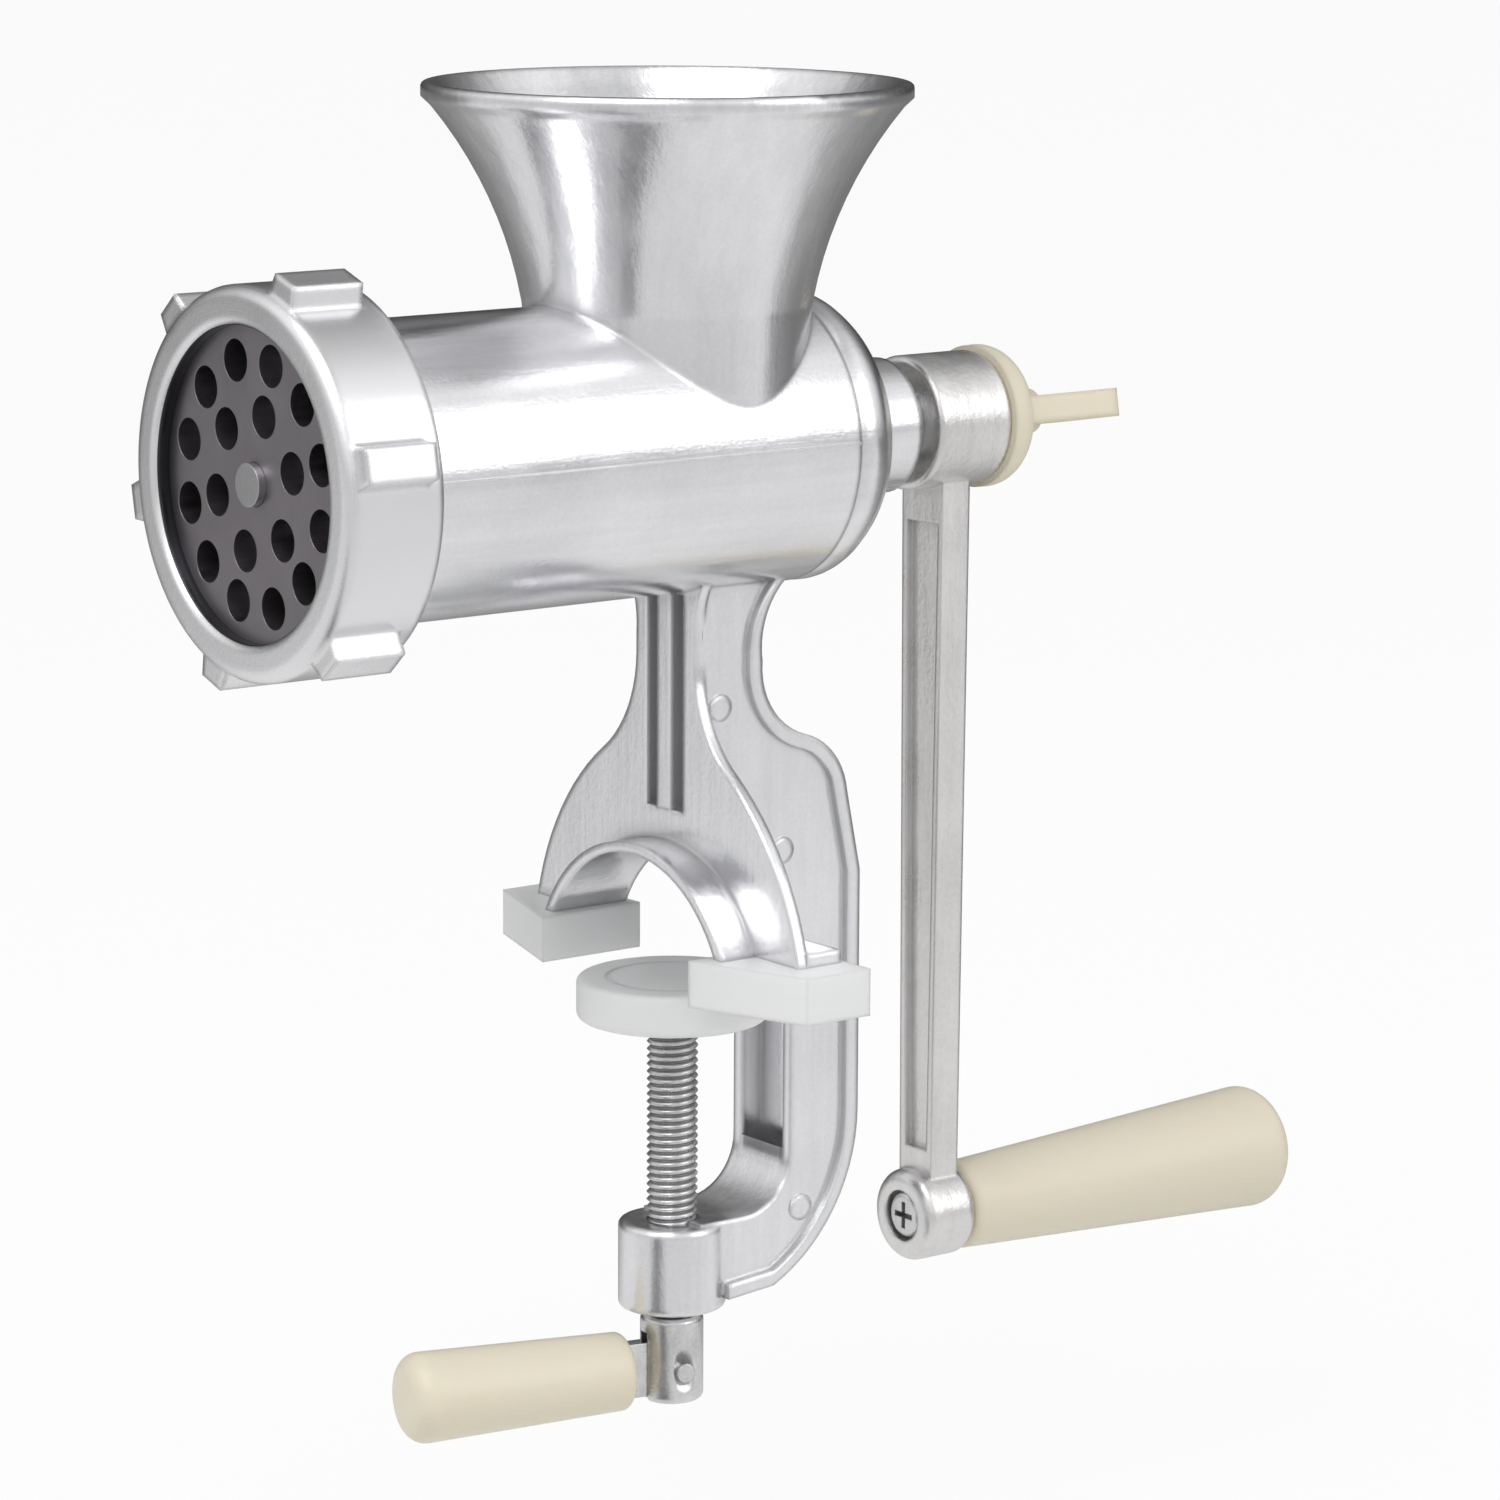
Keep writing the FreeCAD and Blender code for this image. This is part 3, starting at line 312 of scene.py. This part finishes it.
groundPlate = {
    "axisHeight": 0.103,
    "colour": (0.33, 0.31, 0.33), "shade": (0.19, 0.175, 0.19),
    "rough": 0.42, "roughSpan": 0.16, "ringScale": 5000.0,
    "cloudScale": 90.0, "grainScale": 1600.0, "grainDepth": 0.00003, "edge": 0.0003,
}
groundKnife = dict(groundPlate, colour=(0.42, 0.41, 0.42), shade=(0.28, 0.27, 0.28))
turnedSteel = {
    "axisHeight": 0.103,
    "colour": (0.56, 0.56, 0.57), "shade": (0.38, 0.38, 0.39),
    "rough": 0.30, "roughSpan": 0.12, "ringScale": 5200.0,
    "cloudScale": 120.0, "grainScale": 1500.0, "grainDepth": 0.00003, "edge": 0.0003,
}
zincSteel = {
    "colour": (0.76, 0.76, 0.765), "shade": (0.54, 0.54, 0.545), "dark": (0.13, 0.13, 0.13),
    "rough": 0.25, "roughSpan": 0.16, "streakRough": 0.12, "streakDepth": 0.4,
    "cloudScale": 140.0, "grainScale": 1700.0, "streakScale": 420.0, "streakStretch": (1.0, 1.0, 0.5),
    "ripple": 0.5, "grainDepth": 0.00003, "edge": 0.0004, "crevice": 0.002, "grime": 0.8,
}
brassInsert = {
    "colour": (0.78, 0.60, 0.28), "shade": (0.58, 0.42, 0.17), "dark": (0.2, 0.14, 0.05),
    "rough": 0.30, "roughSpan": 0.14, "streakRough": 0.1, "streakDepth": 0.3,
    "cloudScale": 140.0, "grainScale": 1700.0, "streakScale": 300.0, "streakStretch": (1.0, 0.4, 1.0),
    "ripple": 0.5, "grainDepth": 0.00003, "edge": 0.0003, "crevice": 0.002, "grime": 0.5,
}
creamGrip = {
    "colour": (0.84, 0.785, 0.645), "shade": (0.79, 0.72, 0.56),
    "rough": 0.36, "roughSpan": 0.12, "cloudScale": 30.0, "grainScale": 1400.0,
    "flowScale": 120.0, "flowStretch": (1.0, 0.12, 1.0), "grainDepth": 0.00003, "edge": 0.0022,
    "glow": 0.2, "glowColour": (1.0, 0.75, 0.45), "glowDepth": 0.003,
}
milkyPad = {
    "colour": (0.87, 0.875, 0.875), "shade": (0.81, 0.82, 0.825),
    "rough": 0.38, "roughSpan": 0.14, "cloudScale": 40.0, "grainScale": 1200.0,
    "flowScale": 90.0, "flowStretch": (0.4, 0.4, 1.0), "grainDepth": 0.00004, "edge": 0.0012,
    "glow": 0.45, "glowColour": (1.0, 1.0, 1.0), "glowDepth": 0.006,
}
nylonBush = {
    "colour": (0.78, 0.76, 0.70), "shade": (0.68, 0.66, 0.60),
    "rough": 0.42, "roughSpan": 0.12, "cloudScale": 60.0, "grainScale": 1200.0,
    "flowScale": 100.0, "flowStretch": (1.0, 0.3, 1.0), "grainDepth": 0.00003, "edge": 0.0003,
    "glow": 0.2, "glowColour": (1.0, 0.95, 0.85), "glowDepth": 0.003,
}

finishes = {
    "bright_casting": castMetal("polishedCasting", polishedCasting),
    "sand_casting": castMetal("sandyCasting", sandyCasting),
    "worm_casting": castMetal("wormCasting", wormCasting),
    "satin_casting": turnedMetal("satinRing", satinRing),
    "plate_steel": turnedMetal("groundPlate", groundPlate),
    "knife_steel": turnedMetal("groundKnife", groundKnife),
    "bare_steel": turnedMetal("turnedSteel", turnedSteel),
    "zinc_steel": castMetal("zincSteel", zincSteel),
    "insert_brass": castMetal("brassInsert", brassInsert),
    "cream_plastic": mouldedPlastic("creamGrip", creamGrip),
    "milky_plastic": mouldedPlastic("milkyPad", milkyPad),
    "bearing_nylon": mouldedPlastic("nylonBush", nylonBush),
}
for part in frame["record"]["subparts"]:
    mesh = nodes[part["node"]].data
    mesh.materials.clear()
    mesh.materials.append(finishes[part["material_slot"]])
print("finishes:", len(finishes), "materials on the solids")


# a Geometry Nodes tree that is built, run once and left as a plain mesh
class Grown:
    def __init__(self, name, inputs):
        self.name = name
        self.tree = bpy.data.node_groups.new(name, "GeometryNodeTree")
        self.inputs = inputs
        self.ids = {}
        kinds = {int: "NodeSocketInt", float: "NodeSocketFloat", tuple: "NodeSocketVector"}
        for label, value in inputs.items():
            made = self.tree.interface.new_socket(label, in_out="INPUT", socket_type=kinds[type(value)])
            self.ids[label] = made.identifier
        self.tree.interface.new_socket("Geometry", in_out="OUTPUT", socket_type="NodeSocketGeometry")
        self.entry = self.tree.nodes.new("NodeGroupInput")

    def size(self, label):
        return self.entry.outputs[label]

    def node(self, kind, settings, values):
        made = self.tree.nodes.new(kind)
        for key, value in settings.items():
            setattr(made, key, value)
        for key, value in values.items():
            if isinstance(value, bpy.types.NodeSocket):
                self.tree.links.new(value, made.inputs[key])
            else:
                made.inputs[key].default_value = value
        return made.outputs[0]

    def join(self, *parts):
        made = self.tree.nodes.new("GeometryNodeJoinGeometry")
        for part in parts:
            self.tree.links.new(part, made.inputs[0])
        return made.outputs[0]

    def finish(self, geometry, slot, body):
        whole = self.node("GeometryNodeRealizeInstances", {}, {0: geometry})
        painted = self.node("GeometryNodeSetMaterial", {}, {"Geometry": whole, "Material": finishes[slot]})
        leaving = self.tree.nodes.new("NodeGroupOutput")
        self.tree.links.new(painted, leaving.inputs[0])
        holder = bpy.data.objects.new(self.name + "Holder", bpy.data.meshes.new(self.name + "Holder"))
        scene.collection.objects.link(holder)
        modifier = holder.modifiers.new("grown", "NODES")
        modifier.node_group = self.tree
        for label, value in self.inputs.items():
            modifier[self.ids[label]] = value
        shown = holder.evaluated_get(bpy.context.evaluated_depsgraph_get())
        mesh = bpy.data.meshes.new_from_object(shown)
        holder.modifiers.clear()
        bpy.data.objects.remove(holder)
        return addPiece(self.name, mesh, slot, body)


def addPiece(name, mesh, slot, body):
    mesh.name = name
    if not mesh.materials:
        mesh.materials.append(finishes[slot])
    piece = bpy.data.objects.new(name, mesh)
    scene.collection.objects.link(piece)
    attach(piece, body)
    return piece


weldReach = 0.000001


# a merged copy of a solid's mesh, for pieces that carry more detail than the solid
def mergedCopy(nodeName):
    shape = bmesh.new()
    shape.from_mesh(nodes[nodeName].data)
    bmesh.ops.remove_doubles(shape, verts=shape.verts, dist=weldReach)
    return shape


# the clamp screw: a core with a helical ridge, over the fork cut from the solid
clampThread = {
    "outerRadius": 0.00498, "pitch": 0.0015, "ridge": 0.0007, "top": -0.0084, "bottom": -0.0658,
    "steps": 40, "ridgeSides": 4, "coreSides": 64,
}


def growClampThread(dims):
    length = dims["top"] - dims["bottom"]
    grown = Grown("threadedSpindle", {
        "Turns": length / dims["pitch"] - 1.0,  # half a pitch stays plain at each end
        "Path Radius": dims["outerRadius"] - dims["ridge"],
        "Path Height": length - dims["pitch"],
        "Ridge": dims["ridge"],
        "Core Length": length,
        "Steps": dims["steps"],
        "Path Start": (0.0, 0.0, dims["bottom"] + dims["pitch"] / 2.0),
        "Core Middle": (0.0, 0.0, (dims["top"] + dims["bottom"]) / 2.0),
    })
    path = grown.node("GeometryNodeCurveSpiral", {}, {
        "Resolution": grown.size("Steps"), "Rotations": grown.size("Turns"),
        "Height": grown.size("Path Height"), "Reverse": True,
        "Start Radius": grown.size("Path Radius"), "End Radius": grown.size("Path Radius"),
    })
    path = grown.node("GeometryNodeSetCurveNormal", {"mode": "Z_UP"}, {"Curve": path})
    outline = grown.node("GeometryNodeCurvePrimitiveCircle", {}, {
        "Resolution": dims["ridgeSides"], "Radius": grown.size("Ridge"),
    })
    ridge = grown.node("GeometryNodeCurveToMesh", {}, {
        "Curve": path, "Profile Curve": outline, "Fill Caps": True,
    })
    ridge = grown.node("GeometryNodeTransform", {}, {
        "Geometry": ridge, "Translation": grown.size("Path Start"),
    })
    core = grown.node("GeometryNodeMeshCylinder", {}, {
        "Vertices": dims["coreSides"],
        "Radius": grown.size("Path Radius"), "Depth": grown.size("Core Length"),
    })
    core = grown.node("GeometryNodeTransform", {}, {
        "Geometry": core, "Translation": grown.size("Core Middle"),
    })
    return grown.finish(grown.join(ridge, core), "zinc_steel", "clamp_spindle")


def cutFork(dims):
    shape = mergedCopy("clamp_screw")
    geometry = shape.verts[:] + shape.edges[:] + shape.faces[:]
    cut = bmesh.ops.bisect_plane(
        shape, geom=geometry, plane_co=(0, 0, dims["bottom"]), plane_no=(0, 0, 1), clear_outer=True,
    )
    rim = [item for item in cut["geom_cut"] if isinstance(item, bmesh.types.BMEdge)]
    bmesh.ops.contextual_create(shape, geom=rim)
    mesh = bpy.data.meshes.new("forkFoot")
    shape.to_mesh(mesh)
    shape.free()
    return addPiece("forkFoot", mesh, "zinc_steel", "clamp_spindle")


spindle = growClampThread(clampThread)
fork = cutFork(clampThread)
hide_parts("clamp_screw")
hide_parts("clamp_screw")
print("clamp screw:", len(spindle.data.polygons), "thread faces")


# a solid's mesh with the cutter's shape taken out of it
def cutFrom(nodeName, cutter, name, slot, body):
    holders = []
    for label, shape in ((name + "Blank", mergedCopy(nodeName)), (name + "Cutter", cutter)):
        mesh = bpy.data.meshes.new(label)
        shape.to_mesh(mesh)
        shape.free()
        holders.append(bpy.data.objects.new(label, mesh))
        scene.collection.objects.link(holders[-1])
    modifier = holders[0].modifiers.new("recess", "BOOLEAN")
    modifier.object = holders[1]
    modifier.operation = "DIFFERENCE"
    modifier.solver = "EXACT"
    modifier.use_self = True
    shown = holders[0].evaluated_get(bpy.context.evaluated_depsgraph_get())
    mesh = bpy.data.meshes.new_from_object(shown)
    for holder in holders:
        bpy.data.objects.remove(holder)
    mesh.materials.clear()
    piece = addPiece(name, mesh, slot, body)
    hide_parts(nodeName)
    return piece


# the crank handle's screw gets its cross recess
crossRecess = {"headFront": 0.058, "height": -0.0575, "arm": 0.0027, "half": 0.00055, "depth": 0.0017}


def crossCutter(dims):
    cutter = bmesh.new()
    for wide, tall in ((dims["arm"], dims["half"]), (dims["half"], dims["arm"])):
        made = bmesh.ops.create_cube(cutter, size=2.0)
        bmesh.ops.scale(cutter, vec=(wide, dims["depth"], tall), verts=made["verts"])
        bmesh.ops.translate(cutter, vec=(0.0, dims["headFront"], dims["height"]), verts=made["verts"])
    return cutter


crossScrew = cutFrom("handle_screw", crossCutter(crossRecess), "crossScrew", "zinc_steel", "handle")
print("handle screw:", len(crossScrew.data.polygons), "faces")


# the clamp pad's face gets its shallow ring groove
padGroove = {"radius": 0.0125, "half": 0.0004, "depth": 0.00035, "steps": 96}


def grooveCutter(dims):
    top = max(vert.co.z for vert in nodes["clamp_pad"].data.vertices)
    inner, outer = dims["radius"] - dims["half"], dims["radius"] + dims["half"]
    low, high = top - dims["depth"], top + dims["depth"]
    cutter = bmesh.new()
    loops = []
    for step in range(dims["steps"]):
        turn = 2.0 * math.pi * step / dims["steps"]
        corners = [(inner, low), (outer, low), (outer, high), (inner, high)]
        loops.append([cutter.verts.new((r * math.cos(turn), r * math.sin(turn), z)) for r, z in corners])
    for one, two in zip(loops, loops[1:] + loops[:1]):
        for near, far in ((0, 1), (1, 2), (2, 3), (3, 0)):
            cutter.faces.new((one[near], two[near], two[far], one[far]))
    bmesh.ops.recalc_face_normals(cutter, faces=cutter.faces)
    return cutter


groovedPad = cutFrom("clamp_pad", grooveCutter(padGroove), "groovedPad", "milky_plastic", "clamp_foot")
print("clamp pad:", len(groovedPad.data.polygons), "faces")


# round mould marks on both sides of the stand and clamp frame
mouldMarks = {
    "radius": 0.0027, "rise": 0.00025, "side": 0.0092, "rimSides": 40,
    "places": [(0.0042, 0.0532), (0.0244, -0.0482), (0.0194, 0.0237)],
}


def growMouldMarks(dims):
    depth = dims["rise"] * 2.0  # half of each disc is sunk in the casting
    grown = Grown("mouldMarks", {"Radius": dims["radius"], "Rise": depth})
    disc = grown.node("GeometryNodeMeshCylinder", {}, {
        "Vertices": dims["rimSides"], "Radius": grown.size("Radius"), "Depth": grown.size("Rise"),
    })
    sideways = (0.0, math.pi / 2.0, 0.0)
    disc = grown.node("GeometryNodeTransform", {}, {"Geometry": disc, "Rotation": sideways})
    spots = []
    for along, height in dims["places"]:
        for side in (dims["side"], -dims["side"]):
            values = {"Count": 1, "Position": (side, along, height)}
            spots.append(grown.node("GeometryNodePoints", {}, values))
    marks = grown.node("GeometryNodeInstanceOnPoints", {}, {
        "Points": grown.join(*spots), "Instance": disc,
    })
    return grown.finish(marks, "bright_casting", "frame")


# the mould's parting line along both sides of the barrel
partingLine = {
    "radius": 0.0280, "height": 0.1045, "axisHeight": 0.103,
    "front": -0.0755, "back": 0.0229, "flash": 0.00032, "flashSides": 8,
}


def growPartingLine(dims):
    rise = dims["height"] - dims["axisHeight"]
    side = math.sqrt(dims["radius"] ** 2 - rise ** 2)
    grown = Grown("partingLine", {"Flash": dims["flash"]})
    outline = grown.node("GeometryNodeCurvePrimitiveCircle", {}, {
        "Resolution": dims["flashSides"], "Radius": grown.size("Flash"),
    })
    lines = []
    for x in (side, -side):
        line = grown.node("GeometryNodeCurvePrimitiveLine", {}, {
            "Start": (x, dims["front"], dims["height"]), "End": (x, dims["back"], dims["height"]),
        })
        lines.append(grown.node("GeometryNodeCurveToMesh", {}, {
            "Curve": line, "Profile Curve": outline, "Fill Caps": True,
        }))
    return grown.finish(grown.join(*lines), "bright_casting", "frame")


growMouldMarks(mouldMarks)
growPartingLine(partingLine)
print("casting: mould marks and parting line")


# studio: pale floor, white world, two soft lamps
# metal mirrors a pale sheet that ends behind the object, a dark card on it and a sky bright in front
studio = {
    "floorDrop": 0.038, "floorHalf": 9.0, "floorColour": (0.88, 0.88, 0.875), "floorRough": 0.6,
    "floorLift": 0.9, "mirrorLift": 0.9, "sheetSpan": 2.0, "sheetBack": (-0.69, 0.72),
    "sheet": [
        (0.0, 0.68), (0.41, 0.78), (0.5, 0.88), (0.555, 0.8), (0.605, 0.38), (0.75, 0.22), (1.0, 0.15),
    ],
    "card": {"turn": 68.0, "near": 0.08, "far": 0.6, "half": 0.03, "soft": 0.025, "dark": 0.75},
    "daylight": 0.6, "overhead": 0.45,
    "sky": [
        (0.0, 0.9), (0.5, 0.55), (0.54, 0.6), (0.62, 0.95), (0.75, 1.0), (0.88, 1.0), (0.94, 0.7), (1.0, 0.6),
    ],
    "bright": (0.79, -0.61), "around": [(0.0, 0.08), (0.15, 0.2), (0.33, 0.75), (0.45, 1.0)],
    "key": {"place": (0.35, -1.0, 1.55), "size": 1.3, "power": 15.0},
    "fill": {"place": (1.5, 0.7, 0.8), "size": 1.1, "power": 5.0},
    "aim": (0.0, 0.0, 0.05), "white": (1.0, 1.0, 1.0, 1.0),
}


# whether a ray comes from the camera, and whether from a mirror
def lightKinds(paint):
    path = paint.node("ShaderNodeLightPath", {}, {})
    return path["Is Camera Ray"].larger(path["Is Transmission Ray"]), path["Is Glossy Ray"]


def buildWorld(dims):
    world = bpy.data.worlds.new("studioWorld")
    world.use_nodes = True
    scene.world = world
    paint = Paint(world.node_tree)
    seen, mirrored = lightKinds(paint)
    direction = paint.node("ShaderNodeTexCoord", {}, {})["Generated"]
    axes = paint.node("ShaderNodeSeparateXYZ", {}, {"Vector": direction})
    facing = axes["X"] * dims["bright"][0] + axes["Y"] * dims["bright"][1]
    around = paint.ramp(facing.unit(), dims["around"])
    sky = paint.ramp(axes["Z"].unit(), dims["sky"]) * around.larger(axes["Z"] * dims["overhead"])

    def light(colour, strength):
        values = {"Color": colour, "Strength": strength}
        return paint.node("ShaderNodeBackground", {}, values)["Background"]

    soft = light(dims["white"], dims["daylight"])
    glossy = light(sky, 1.0)
    white = light(dims["white"], 1.0)
    lit = paint.node("ShaderNodeMixShader", {}, {0: mirrored, 1: soft, 2: glossy})
    full = paint.node("ShaderNodeMixShader", {}, {0: seen, 1: lit["Shader"], 2: white})
    paint.node("ShaderNodeOutputWorld", {}, {"Surface": full["Shader"]})


def buildFloor(dims):
    material, paint = newMaterial("paleFloor")
    seen, mirrored = lightKinds(paint)
    values = {"Color": (*dims["floorColour"], 1.0), "Roughness": dims["floorRough"]}
    matt = paint.node("ShaderNodeBsdfDiffuse", {}, values)
    spot = paint.node("ShaderNodeSeparateXYZ", {}, {"Vector": paint.place()})
    behind = spot["X"] * dims["sheetBack"][0] + spot["Y"] * dims["sheetBack"][1]
    sheet = paint.ramp((behind * (2.0 / dims["sheetSpan"])).unit(), dims["sheet"])
    card = dims["card"]
    turned = paint.node("ShaderNodeMapping", {}, {
        "Vector": paint.place(), "Rotation": (0.0, 0.0, math.radians(card["turn"])),
    })["Vector"]
    sides = paint.node("ShaderNodeSeparateXYZ", {}, {"Vector": turned})
    along = paint.between(sides["X"], card["near"], card["far"], card["soft"])
    across = paint.between(sides["Y"], -card["half"], card["half"], card["soft"])
    glow = sheet * (1 - along * across * card["dark"]) * mirrored + seen
    white = paint.node("ShaderNodeEmission", {}, {"Color": glow, "Strength": 1.0})
    share = seen * dims["floorLift"] + mirrored * dims["mirrorLift"]
    full = paint.node("ShaderNodeMixShader", {}, {0: share, 1: matt["BSDF"], 2: white["Emission"]})
    paint.node("ShaderNodeOutputMaterial", {}, {"Surface": full["Shader"]})
    level = cadLow.z - dims["floorDrop"]  # room for the clamp screw run all the way down
    half = dims["floorHalf"]
    shape = bmesh.new()
    corners = [(-half, -half), (half, -half), (half, half), (-half, half)]
    shape.faces.new([shape.verts.new((x, y, level)) for x, y in corners])
    mesh = bpy.data.meshes.new("floor")
    shape.to_mesh(mesh)
    shape.free()
    mesh.materials.append(material)
    floor = bpy.data.objects.new("floor", mesh)
    scene.collection.objects.link(floor)


def addLamp(name, dims, target):
    lamp = bpy.data.lights.new(name, "AREA")
    lamp.shape = "SQUARE"
    lamp.size = dims["size"]
    lamp.energy = dims["power"]
    holder = bpy.data.objects.new(name, lamp)
    holder.location = dims["place"]
    holder.rotation_mode = "QUATERNION"
    holder.rotation_quaternion = (Vector(target) - Vector(dims["place"])).to_track_quat("-Z", "Y")
    scene.collection.objects.link(holder)


buildWorld(studio)
buildFloor(studio)
addLamp("keyLamp", studio["key"], studio["aim"])
addLamp("fillLamp", studio["fill"], studio["aim"])

# the camera fitted to the photograph: back points from the object to it
camera = {
    "place": (0.8367, -0.6254, 0.2419), "back": (0.7787, -0.5993, 0.1860), "roll": 0.3,
    "lens": 133.34, "sensor": 36.0, "clipStart": 0.05, "clipEnd": 40.0,
}


def addCamera(dims):
    back = Vector(dims["back"]).normalized()
    right = Vector((0.0, 0.0, 1.0)).cross(back).normalized()
    up = back.cross(right)
    turn = math.radians(dims["roll"])
    tilted = right * math.cos(turn) + up * math.sin(turn)
    upright = up * math.cos(turn) - right * math.sin(turn)
    data = bpy.data.cameras.new("photoCamera")
    data.lens = dims["lens"]
    data.sensor_width = dims["sensor"]
    data.clip_start = dims["clipStart"]
    data.clip_end = dims["clipEnd"]
    holder = bpy.data.objects.new("photoCamera", data)
    axes = Matrix((tilted, upright, back)).transposed().to_4x4()
    holder.matrix_world = Matrix.Translation(dims["place"]) @ axes
    scene.collection.objects.link(holder)
    scene.camera = holder


addCamera(camera)
print("studio: floor, world, lamps and camera")
